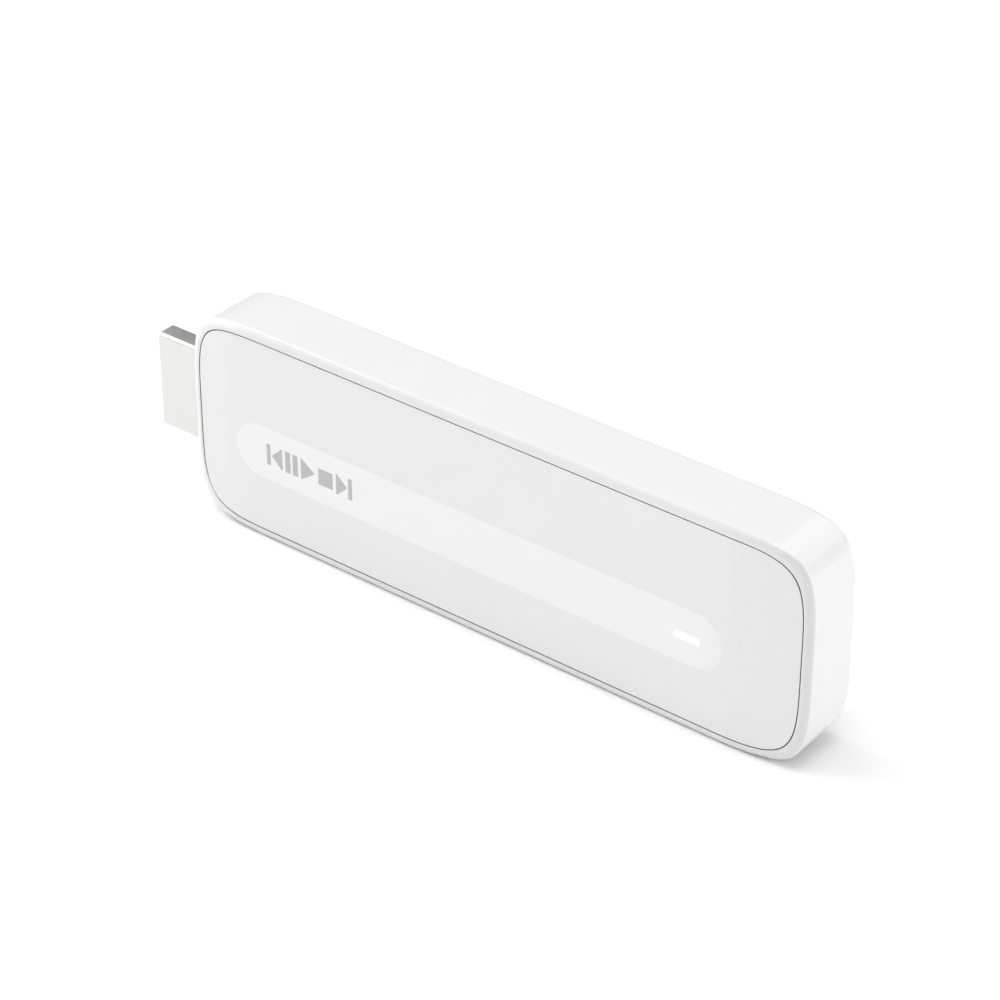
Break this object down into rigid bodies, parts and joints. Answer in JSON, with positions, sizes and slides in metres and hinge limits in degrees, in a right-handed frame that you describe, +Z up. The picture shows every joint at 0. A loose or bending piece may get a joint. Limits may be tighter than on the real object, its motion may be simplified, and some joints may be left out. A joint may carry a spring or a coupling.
{
  "type": "streaming media player",
  "caption": "Slim white streaming media stick with an HDMI plug at one end, a light strip along its front, a power socket and a sprung reset button in its lower side.",
  "frame": {"origin": "centre of the underside of the whole object's box, plug included, with the stick standing on its lower long side", "axes": "+X along the length, from the HDMI plug to the far end; +Y from the front cover to the back; +Z up across the 30.6 mm width"},
  "size_m": [0.1036, 0.0106, 0.0306],
  "materials": {
    "case_white": "smooth glossy white ABS",
    "cover_white": "fine satin white ABS",
    "strip_white": "smooth milky white polycarbonate",
    "light_window": "milky clear polycarbonate",
    "board_green": "solder mask on glass epoxy",
    "screw_steel": "zinc plated steel",
    "plug_nickel": "bright nickel plated steel",
    "black_plastic": "black moulded connector plastic",
    "contact_gold": "gold plated copper alloy",
    "socket_steel": "nickel plated stainless steel",
    "switch_steel": "stamped stainless cover over a plastic base",
    "chip_resin": "black epoxy moulding",
    "inductor_ferrite": "pressed metal powder",
    "capacitor_resin": "yellow epoxy moulding",
    "capacitor_ceramic": "fired ceramic",
    "can_steel": "tin plated sheet steel",
    "led_body": "clear resin over white",
    "thermal_pad": "soft filled silicone",
    "spreader_aluminium": "rolled aluminium sheet",
    "antenna_steel": "tin plated stamped strip"
  },
  "bodies": {
    "case": {"rear_shell": "case_white", "front_cover": "cover_white", "light_strip": "strip_white", "light_pipe": "light_window", "main_board": "board_green", "board_screws": "screw_steel", "hdmi_plug_shell": "plug_nickel", "hdmi_plug_insulator": "black_plastic", "hdmi_plug_contacts": "contact_gold", "power_socket_shell": "socket_steel", "power_socket_tongue": "black_plastic", "power_socket_contacts": "contact_gold", "tact_switch": "switch_steel", "processor_chip": "chip_resin", "memory_chips": "chip_resin", "storage_chip": "chip_resin", "power_chip": "chip_resin", "power_inductors": "inductor_ferrite", "bulk_capacitors": "capacitor_resin", "ceramic_capacitors": "capacitor_ceramic", "protection_chips": "chip_resin", "crystal": "can_steel", "status_led": "led_body", "shield_fence": "can_steel", "shield_lid": "can_steel", "chip_thermal_pad": "thermal_pad", "lid_thermal_pad": "thermal_pad", "heat_spreader": "spreader_aluminium", "wireless_module": "board_green", "wireless_shield": "can_steel", "wifi_antenna": "antenna_steel", "bluetooth_antenna": "antenna_steel"},
    "button": {"reset_button": "case_white", "switch_plunger": "black_plastic"}
  },
  "joints": [
    {"name": "button_press", "type": "slide", "parent": "case", "child": "button", "axis": [0, 0, 1], "range_m": [0, 0.0003], "stiffness_N_per_m": 3000}
  ]
}
